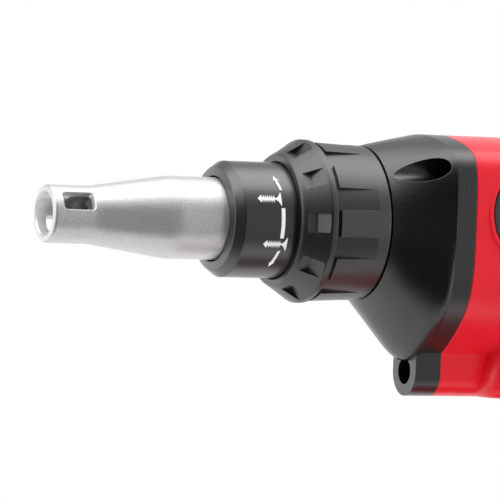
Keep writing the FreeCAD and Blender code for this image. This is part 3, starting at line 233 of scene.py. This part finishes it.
def moulded_plastic(name, dark, light, grain, depth, rough, gloss=0.5, index=1.5):
    """Moulded plastic with a spark-eroded texture and a slow drift in tone."""
    material, tree, shader = new_material(name, Specular_IOR_Level=gloss, IOR=index)
    grains = placed_group(tree, grain_group, Grain_Size=grain, Drift_Size=plastic_drift)
    tone_colour(tree, shader, grains["Tone"], dark, light)
    tone_roughness(tree, shader, grains["Height"], *rough)
    relief(tree, shader, grains["Height"], depth)
    return material


fan_nylon = moulded_plastic(
    "fan_nylon", dark=(0.016, 0.016, 0.017), light=(0.024, 0.024, 0.025),
    grain=0.0005, depth=0.00003, rough=(0.42, 0.6))
paint(fan_nylon, "cooling_fan", "trigger_switch")


# Gear train: a steel sun pinion on the motor shaft drives three planet gears inside a fixed
# steel ring gear. The planets turn on pins of the carrier, and sintered bronze bushes carry it.

gear_steel = turned_metal(
    "gear_steel", dark=(0.40, 0.39, 0.38), light=(0.52, 0.51, 0.50), pitch=0.0006, rough=(0.24, 0.42))
paint(gear_steel, "ring_gear", "sun_pinion", "planet_gear_top", "planet_gear_left", "planet_gear_right",
      "planet_carrier", "planet_keeper")
bronze, tree, shader = new_material("sintered_bronze", Metallic=1.0)
grains = placed_group(tree, grain_group, Grain_Size=0.0003, Drift_Size=0.004)
tone_colour(tree, shader, grains["Height"], dark=(0.34, 0.20, 0.08), light=(0.66, 0.44, 0.22))
tone_roughness(tree, shader, grains["Tone"], low=0.35, high=0.55)
relief(tree, shader, grains["Height"], depth=0.00004)
paint(bronze, "carrier_bush", "spindle_bush")


# Spindle and clutch: a ground steel spindle with a hex socket and a plated magnet for the bit.
# A coil spring keeps its clutch dogs apart until the bit is pushed against a screw.

paint(ground_steel, "spindle", "thrust_washer")
spring_wire = turned_metal(
    "spring_wire", dark=(0.30, 0.30, 0.31), light=(0.44, 0.44, 0.45), pitch=0.0002, rough=(0.22, 0.38))
paint(spring_wire, "clutch_spring", "ring_clip", "ring_washer")


def sprung_coil(name, body):
    """A copy of a coil spring's mesh, on its own data and attached to a body, in place of the hidden CAD
    node.
    """
    coil = bpy.data.objects.new(name + "_coil", nodes[name].data.copy())
    bpy.context.scene.collection.objects.link(coil)
    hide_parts(name)
    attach(coil, body)
    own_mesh(coil)


sprung_coil("clutch_spring", "carrier")
magnet_plate = turned_metal(
    "plated_magnet", dark=(0.60, 0.60, 0.61), light=(0.72, 0.71, 0.68), pitch=0.0008, rough=(0.10, 0.2))
paint(magnet_plate, "bit_magnet")


# Gear case: one glass-filled nylon moulding, flared from its round neck to the crowned body.
# Its outer face has a fine spark-eroded texture, and three recessed screws hold it to the motor housing.

case_nylon = moulded_plastic(
    "gear_case_nylon", dark=(0.0016, 0.0016, 0.0017), light=(0.0032, 0.0032, 0.0034),
    grain=0.00045, depth=0.00005, rough=(0.27, 0.38), gloss=1.0)
paint(case_nylon, "gear_case")
black_oxide = turned_metal(
    "black_oxide", dark=(0.035, 0.035, 0.037), light=(0.06, 0.06, 0.063), pitch=0.0004, rough=(0.3, 0.46))
paint(black_oxide, "gear_case_screws")


# Adjusting ring: a fluted black moulding that turns on the neck of the gear case.
# Ten wedge notches with a raised finger pad behind each give grip, and a thread inside drives the collar.

ring_nylon = moulded_plastic(
    "adjusting_ring_nylon", dark=(0.0045, 0.0045, 0.0047), light=(0.0075, 0.0075, 0.0078),
    grain=0.0004, depth=0.00003, rough=(0.32, 0.44), gloss=1.0, index=1.55)
paint(ring_nylon, "adjust_ring")


# Depth collar: a smooth black sleeve, keyed so that it slides without turning.
# Its white sign, printed on the left side, shows which way the screw head stands proud or sunk.

collar_nylon = moulded_plastic(
    "depth_collar_nylon", dark=(0.0045, 0.0045, 0.0047), light=(0.0075, 0.0075, 0.0078),
    grain=0.0003, depth=0.000015, rough=(0.26, 0.36), gloss=1.0, index=1.6)
paint(collar_nylon, "depth_collar")

sleeve_radius = 0.01575
print_lift = 0.00002
print_film = 0.00006
facet_arc = 0.0004
cut_tolerance = 1e-8
sign_from_front = 0.0140
sign_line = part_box("depth_collar")[0].x + sign_from_front
line_half = 0.00055
screw_length = 0.0071
shank_half = 0.0002
thread_half = 0.0011
thread_turns = 6
head_half = 0.00195
head_depth = 0.0019
head_run = 0.9
head_curve = 2.2
tip_length = 0.0015
tip_shoulder = 0.75
arrow_line_share = 0.75
barb_half = 0.0009
barb_length = 0.0019
barb_notch = 0.0003


def screw_outline(head_x, middle):
    """A countersunk screw lying along the sleeve, its tip towards the nose."""
    tip_x = head_x - screw_length
    shank_end = head_x - head_depth
    thread_pitch = (shank_end - tip_x - tip_length) / thread_turns
    upper = [(tip_x, 0.0), (tip_x + tip_shoulder * tip_length, thread_half)]
    for turn in range(thread_turns):
        start = tip_x + tip_length + turn * thread_pitch
        upper.append((start, shank_half))
        upper.append((start + 0.5 * thread_pitch, thread_half))
    for share in (0.0, 0.35, 0.6, 0.8, 0.95):
        flare = shank_half + (head_half - shank_half) * share ** head_curve
        upper.append((shank_end + share * head_depth * head_run, flare))
    upper.append((head_x, head_half))
    lower = [(x, -s) for x, s in reversed(upper[1:])]
    return [(x, s + middle) for x, s in upper + lower]


def bar_outline(start, end):
    """A plain stretch of the sign's line, from one arc length to another."""
    return [(sign_line - line_half, start), (sign_line + line_half, start),
            (sign_line + line_half, end), (sign_line - line_half, end)]


def arrow_outline(start, end, lean):
    """A stretch of the line that leans towards the nose and ends in an arrow head."""
    ahead = math.copysign(1.0, end - start)
    barb = end - ahead * barb_length
    notch = barb + ahead * barb_notch
    narrow = arrow_line_share * line_half
    outline = [(-narrow, start), (narrow, start), (narrow, notch), (barb_half, barb), (0.0, end),
               (-barb_half, barb), (-narrow, notch)]
    return [(sign_line + x - lean * (s - start) / (end - start), s) for x, s in outline]


def print_on_sleeve(name, outlines):
    """Flat outlines in station and arc length, cut into strips, wrapped on the sleeve and thickened."""
    drawing = bmesh.new()
    for outline in outlines:
        drawing.faces.new([drawing.verts.new((x, s, 0.0)) for x, s in outline])
    bmesh.ops.triangulate(drawing, faces=drawing.faces[:])
    reach = max(abs(s) for outline in outlines for _, s in outline)
    steps = int(reach / facet_arc) + 1
    for step in range(-steps, steps + 1):
        everything = drawing.verts[:] + drawing.edges[:] + drawing.faces[:]
        bmesh.ops.bisect_plane(
            drawing, geom=everything, dist=cut_tolerance,
            plane_co=(0, step * facet_arc, 0), plane_no=(0, 1, 0))
    axis_height = (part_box("depth_collar")[0].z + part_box("depth_collar")[1].z) / 2
    film = bmesh.ops.extrude_face_region(drawing, geom=drawing.faces[:])
    raised = {v for v in film["geom"] if isinstance(v, bmesh.types.BMVert)}
    for vert in drawing.verts:
        radius = sleeve_radius + print_lift + (print_film if vert in raised else 0.0)
        angle = vert.co.y / sleeve_radius
        vert.co = (vert.co.x, -radius * math.cos(angle), axis_height + radius * math.sin(angle))
    bmesh.ops.recalc_face_normals(drawing, faces=drawing.faces[:])
    mesh = bpy.data.meshes.new(name)
    drawing.to_mesh(mesh)
    drawing.free()
    made = bpy.data.objects.new(name, mesh)
    bpy.context.scene.collection.objects.link(made)
    return made


proud_middle = 0.0061
proud_offset = -0.0003
sunk_middle = -0.0063
sunk_offset = 0.0018
depth_sign = print_on_sleeve("depth_sign", [
    arrow_outline(start=0.0088, end=0.0137, lean=0.0010),
    screw_outline(sign_line + proud_offset, proud_middle),
    bar_outline(start=0.0036, end=-0.0046),
    screw_outline(sign_line + sunk_offset, sunk_middle),
    arrow_outline(start=-0.0083, end=-0.0140, lean=0.0013),
])
print_ink, tree, shader = new_material("white_print", Roughness=0.5)
grains = placed_group(tree, grain_group, Grain_Size=0.0003, Drift_Size=0.003)
tone_colour(tree, shader, grains["Tone"], dark=(0.80, 0.80, 0.79), light=(0.90, 0.90, 0.89))
relief(tree, shader, grains["Height"], depth=0.00001)
depth_sign.data.materials.append(print_ink)
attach(depth_sign, "depth_stop")


# Nose cone: a turned aluminium sleeve, blasted and clear anodised, with two windows near its tip.
# Its bore is pale at the mouth, with painted shade that darkens its colour further in, and a rubber ring
# holds it in the collar.

bore_radius = 0.0059
mouth_length = 0.006
mouth_fade = 0.0025
mouth_tone = (0.86, 0.86, 0.85, 1.0)
mouth_metal = 0.4
mouth_roughness = 0.24
# Painted shade: the bore's colour further in, darker than at the mouth
deep_painted_shade = (0.72, 0.72, 0.71, 1.0)
deep_metal = 0.9
deep_roughness = 0.16
skin_metal = 0.78
blast_depth = 0.00006
nose_aluminium, tree, shader = new_material("blasted_aluminium")
grains = placed_group(tree, grain_group, Grain_Size=0.0005, Drift_Size=0.012)
speckle = remap(tree, grains["Height"], 0.3, 0.7)
skin_tone = tone_ramp(tree, speckle, dark=(0.59, 0.59, 0.587), light=(0.71, 0.71, 0.705))
skin_roughness = remap(tree, grains["Tone"], 0.0, 1.0, low=0.32, high=0.44)
nose_low, nose_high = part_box("nose_cone")
nose_axis = (nose_low + nose_high) / 2
place = add_node(tree, "ShaderNodeTexCoord").outputs["Object"]
from_axis = add_node(tree, "ShaderNodeVectorMath", {0: place, 1: nose_axis}, operation="SUBTRACT")
across = add_node(tree, "ShaderNodeVectorMath", {
    0: from_axis.outputs["Vector"], 1: (0, 1, 1)}, operation="MULTIPLY")
radius = add_node(tree, "ShaderNodeVectorMath", {0: across.outputs["Vector"]}, operation="LENGTH")
blasted = maths(tree, "GREATER_THAN", radius.outputs["Value"], bore_radius)
along = add_node(tree, "ShaderNodeSeparateXYZ", {"Vector": place}).outputs["X"]
mouth_end = nose_low.x + mouth_length
# Share of the bore's painted shade, and of its deeper metal and roughness, rising past the mouth
deep = remap(tree, along, mouth_end, mouth_end + mouth_fade)


def bore_or_skin(kind, mouth, further, outside):
    """A value that differs between the bore's mouth, the bore further in and the blasted skin."""
    inside = add_node(tree, "ShaderNodeMix", {"Factor": deep, "A": mouth, "B": further}, data_type=kind)
    return add_node(tree, "ShaderNodeMix", {
        "Factor": blasted, "A": inside.outputs["Result"], "B": outside}, data_type=kind).outputs["Result"]


# The bore's colour darkens further in with painted shade; the skin keeps its blasted tone
nose_tone = bore_or_skin("RGBA", mouth_tone, deep_painted_shade, skin_tone)
nose_roughness = bore_or_skin("FLOAT", mouth_roughness, deep_roughness, skin_roughness)
nose_metal = bore_or_skin("FLOAT", mouth_metal, deep_metal, skin_metal)
tree.links.new(nose_tone, shader.inputs["Base Color"])
tree.links.new(nose_roughness, shader.inputs["Roughness"])
tree.links.new(nose_metal, shader.inputs["Metallic"])
relief(tree, shader, maths(tree, "MULTIPLY", grains["Height"], blasted), blast_depth)
paint(nose_aluminium, "nose_cone")


def soft_rubber(name, dark, light, grain, depth):
    """Matt rubber with a fine grain and a faint bloom at grazing angles."""
    material, tree, shader = new_material(
        name, Sheen_Weight=0.15, Sheen_Roughness=0.5, Specular_IOR_Level=0.35)
    grains = placed_group(tree, grain_group, Grain_Size=grain, Drift_Size=0.015)
    tone_colour(tree, shader, grains["Tone"], dark, light)
    tone_roughness(tree, shader, grains["Height"], low=0.62, high=0.82)
    relief(tree, shader, grains["Height"], depth)
    return material


seal_rubber = soft_rubber(
    "seal_rubber", dark=(0.012, 0.012, 0.012), light=(0.018, 0.018, 0.018), grain=0.0003, depth=0.00001)
paint(seal_rubber, "nose_o_ring")


# Motor housing: two red glass-filled nylon halves that close round the motor, switch and board.
# They are moulded with a satin texture and meet on the middle plane, where a fine seam shows.

seam_half = 0.00012
seam_tone = (0.10, 0.002, 0.004, 1.0)
red_nylon, tree, shader = new_material("red_nylon", Specular_IOR_Level=0.45)
grains = placed_group(tree, grain_group, Grain_Size=0.0004, Drift_Size=0.03)
red_tone = tone_ramp(tree, grains["Tone"], dark=(0.66, 0.009, 0.022), light=(0.73, 0.011, 0.026))
place = add_node(tree, "ShaderNodeTexCoord").outputs["Object"]
across = add_node(tree, "ShaderNodeSeparateXYZ", {"Vector": place}).outputs["Y"]
off_seam = remap(tree, maths(tree, "ABSOLUTE", across), 0.5 * seam_half, seam_half)
seamed = add_node(tree, "ShaderNodeMix", {
    "Factor": off_seam, "A": seam_tone, "B": red_tone}, data_type="RGBA")
tree.links.new(seamed.outputs["Result"], shader.inputs["Base Color"])
tone_roughness(tree, shader, grains["Height"], low=0.24, high=0.36)
relief(tree, shader, grains["Height"], depth=0.00002)
paint(red_nylon, "housing_left", "housing_right")
paint(black_oxide, "housing_screws")


# Side panels: plain dark grey ovals let into each side of the motor housing behind a raised rim.
# They are moulded in the same nylon and clipped in from outside.

panel_nylon = moulded_plastic(
    "side_panel_nylon", dark=(0.030, 0.030, 0.031), light=(0.040, 0.040, 0.041),
    grain=0.0004, depth=0.00004, rough=(0.42, 0.58))
paint(panel_nylon, "side_panel_left", "side_panel_right")


# Grip covers and rear bumper: soft black rubber moulded over the grip and the barrel's end.
# The covers carry a fine stipple so that they don't slip in a dusty hand.

grip_rubber = soft_rubber(
    "grip_rubber", dark=(0.016, 0.016, 0.017), light=(0.024, 0.024, 0.025), grain=0.0009, depth=0.00012)
paint(grip_rubber, "grip_cover_left", "grip_cover_right", "rear_bumper")


# Trigger and controls: the red trigger pulls straight back against its spring.
# A black bar above it reverses the motor, and a black button on the left locks the trigger on.

trigger_nylon = moulded_plastic(
    "trigger_nylon", dark=(0.55, 0.009, 0.020), light=(0.64, 0.012, 0.026),
    grain=0.0005, depth=0.00002, rough=(0.32, 0.46))
paint(trigger_nylon, "trigger", "latch_left", "latch_right")
control_nylon = moulded_plastic(
    "control_nylon", dark=(0.016, 0.016, 0.0165), light=(0.023, 0.023, 0.024),
    grain=0.0004, depth=0.00003, rough=(0.38, 0.52))
paint(control_nylon, "reversing_bar", "lock_button")
paint(spring_wire, "trigger_spring", "lock_spring", "latch_spring_left", "latch_spring_right")
sprung_coil("trigger_spring", "housing")
sprung_coil("lock_spring", "housing")
sprung_coil("latch_spring_left", "battery")
sprung_coil("latch_spring_right", "battery")


# Control board and terminals: the motor's electronics stand on a board in the foot.
# The terminal block's steel blades meet the battery's contacts through the rail.

paint(board_lacquer, "control_board")
paint(fan_nylon, "terminal_block")


# Belt hook: a bent steel strip with a black coat, held to the foot by one screw.
# It can be moved to the threaded hole on the other side.

hook_coat = moulded_plastic(
    "hook_coat", dark=(0.014, 0.014, 0.0145), light=(0.020, 0.020, 0.021),
    grain=0.0006, depth=0.00002, rough=(0.28, 0.42))
paint(hook_coat, "belt_hook")
paint(black_oxide, "hook_screw")


# Battery: two black nylon case halves round five cells, with a rail on top and red latch buttons.
# The halves are welded along their joint, and the pack slides on from the front.

pack_nylon = moulded_plastic(
    "battery_nylon", dark=(0.014, 0.014, 0.0145), light=(0.021, 0.021, 0.022),
    grain=0.0005, depth=0.00005, rough=(0.42, 0.6))
paint(pack_nylon, "battery_upper", "battery_lower")
cell_sleeve = moulded_plastic(
    "cell_sleeve", dark=(0.02, 0.05, 0.14), light=(0.03, 0.07, 0.18),
    grain=0.002, depth=0.00002, rough=(0.25, 0.35))
paint(cell_sleeve, "battery_cells")
contact_tin = turned_metal(
    "tinned_contacts", dark=(0.52, 0.50, 0.46), light=(0.64, 0.62, 0.58), pitch=0.0005, rough=(0.2, 0.36))
paint(contact_tin, "battery_contacts")


# Studio: a pale floor, light from all round with a dark gap in front of the tool, and the camera.
# The floor shows the tool's shadow close by and fades to white further off.

floor_reach = 0.18
shadow_reach = 0.10
floor_sides = 96
floor_place = (-0.02, 0.04, -0.0002)
floor_mesh = bpy.data.meshes.new("floor")
corners = []
for side in range(floor_sides):
    angle = 2 * math.pi * side / floor_sides
    corners.append((floor_reach * math.cos(angle), floor_reach * math.sin(angle), 0.0))
floor_mesh.from_pydata(corners, [], [range(floor_sides)])
floor = bpy.data.objects.new("floor", floor_mesh)
bpy.context.scene.collection.objects.link(floor)
floor.location = floor_place
floor_paper, tree, shader = new_material("floor_paper", Base_Color=(0.70, 0.70, 0.70, 1.0), Roughness=0.9)
place = add_node(tree, "ShaderNodeTexCoord").outputs["Object"]
away = add_node(tree, "ShaderNodeVectorMath", {0: place}, operation="LENGTH").outputs["Value"]
far = remap(tree, away, shadow_reach, floor_reach, interpolation_type="SMOOTHSTEP")
path = add_node(tree, "ShaderNodeLightPath").outputs
seen = maths(tree, "MAXIMUM", path["Is Camera Ray"], path["Is Glossy Ray"])
seen = maths(tree, "MAXIMUM", seen, path["Is Transmission Ray"])
glow = add_node(tree, "ShaderNodeEmission", {"Color": (1, 1, 1, 1), "Strength": 1.0})
mixed = add_node(tree, "ShaderNodeMixShader", {
    "Fac": maths(tree, "MULTIPLY", far, seen), 1: shader.outputs["BSDF"], 2: glow.outputs["Emission"]})
tree.links.new(mixed.outputs["Shader"], tree.nodes["Material Output"].inputs["Surface"])
floor_mesh.materials.append(floor_paper)

# World: a white room with a bright bank of light overhead, a lit table below and a soft dark gap in front
room_light = 0.62
wall_light = 0.7
wall_rise = (-0.5, -0.2)
wall_fall = (0.15, 0.45)
table_light = 0.36
bank_light = 2.3
gap_light = 0.02
bank_rise = (math.radians(54.0), math.radians(72.0))
bank_fall = (math.radians(98.0), math.radians(134.0))
table_rise = (math.radians(-178.0), math.radians(-150.0))
table_fall = (math.radians(-104.0), math.radians(-86.0))
gap_left = (math.radians(-90.0), math.radians(-48.0))
gap_right = (math.radians(26.0), math.radians(36.0))
gap_low = (math.radians(-88.0), math.radians(-68.0))
gap_high = (math.radians(30.0), math.radians(50.0))
world = bpy.data.worlds.new("studio")
bpy.context.scene.world = world
world.use_nodes = True
tree = world.node_tree
heading = add_node(tree, "ShaderNodeTexCoord").outputs["Generated"]
axes = add_node(tree, "ShaderNodeSeparateXYZ", {"Vector": heading}).outputs
ahead = maths(tree, "MULTIPLY", axes["Y"], -1.0)
turn = maths(tree, "ARCTAN2", axes["X"], ahead)
roll = maths(tree, "ARCTAN2", axes["Z"], ahead)


def soft_band(angle, rise, fall):
    """Share of light that comes up over one range of an angle and goes down over another."""
    up = remap(tree, angle, *rise, interpolation_type="SMOOTHSTEP")
    down = remap(tree, angle, *fall, low=1.0, high=0.0, interpolation_type="SMOOTHSTEP")
    return maths(tree, "MULTIPLY", up, down)


bank = soft_band(roll, bank_rise, bank_fall)
gap = maths(tree, "MULTIPLY", soft_band(turn, gap_left, gap_right), soft_band(roll, gap_low, gap_high))
table = soft_band(roll, table_rise, table_fall)
wall = soft_band(axes["Z"], wall_rise, wall_fall)
room = maths(tree, "MULTIPLY_ADD", wall, wall_light, room_light)
below = maths(tree, "MULTIPLY_ADD", table, table_light, room)
lit = maths(tree, "MULTIPLY_ADD", bank, bank_light, below)
light = maths(tree, "MULTIPLY", lit, remap(tree, gap, 0.0, 1.0, low=1.0, high=gap_light))
path = add_node(tree, "ShaderNodeLightPath").outputs
strength = add_node(tree, "ShaderNodeMix", {
    "Factor": path["Is Camera Ray"], "A": light, "B": 1.0}, data_type="FLOAT")
background = tree.nodes["Background"]
background.inputs["Color"].default_value = (1, 1, 1, 1)
tree.links.new(strength.outputs["Result"], background.inputs["Strength"])

# Fill: a large soft lamp in front that lights the colours without a reflection of its own
fill_power = 28.0
fill_size = 1.2
fill_distance = 2.0
fill_heading = Vector((-0.25, -1.0, -0.3)).normalized()
fill_data = bpy.data.lights.new("front_fill", "AREA")
fill_data.energy = fill_power
fill_data.size = fill_size
fill = bpy.data.objects.new("front_fill", fill_data)
fill.visible_glossy = False
fill.matrix_world = Matrix.Translation(fill_heading * fill_distance) @ fill_heading.to_track_quat(
    "Z", "Y").to_matrix().to_4x4()
bpy.context.scene.collection.objects.link(fill)

# Camera: the photograph's angle, a long lens level with the spindle
camera_azimuth = math.radians(-25.4)
camera_elevation = math.radians(1.18)
camera_roll = math.radians(2.08)
camera_distance = 1.218
camera_target = Vector((-0.10402, 0.0, 0.16979))
camera_lens = 324.0
sensor_width = 36.0
camera_data = bpy.data.cameras.new("camera")
camera_data.lens = camera_lens
camera_data.sensor_width = sensor_width
camera = bpy.data.objects.new("camera", camera_data)
bpy.context.scene.collection.objects.link(camera)
back = Vector((math.sin(camera_azimuth) * math.cos(camera_elevation),
               -math.cos(camera_azimuth) * math.cos(camera_elevation), math.sin(camera_elevation)))
level = Vector((math.cos(camera_azimuth), math.sin(camera_azimuth), 0.0))
upright = back.cross(level)
rolled = level * math.cos(camera_roll) + upright * math.sin(camera_roll)
camera.matrix_world = Matrix.Translation(camera_target + back * camera_distance) @ Matrix(
    (rolled, back.cross(rolled), back)).transposed().to_4x4()
bpy.context.scene.camera = camera
bpy.context.scene.view_settings.view_transform = "Standard"
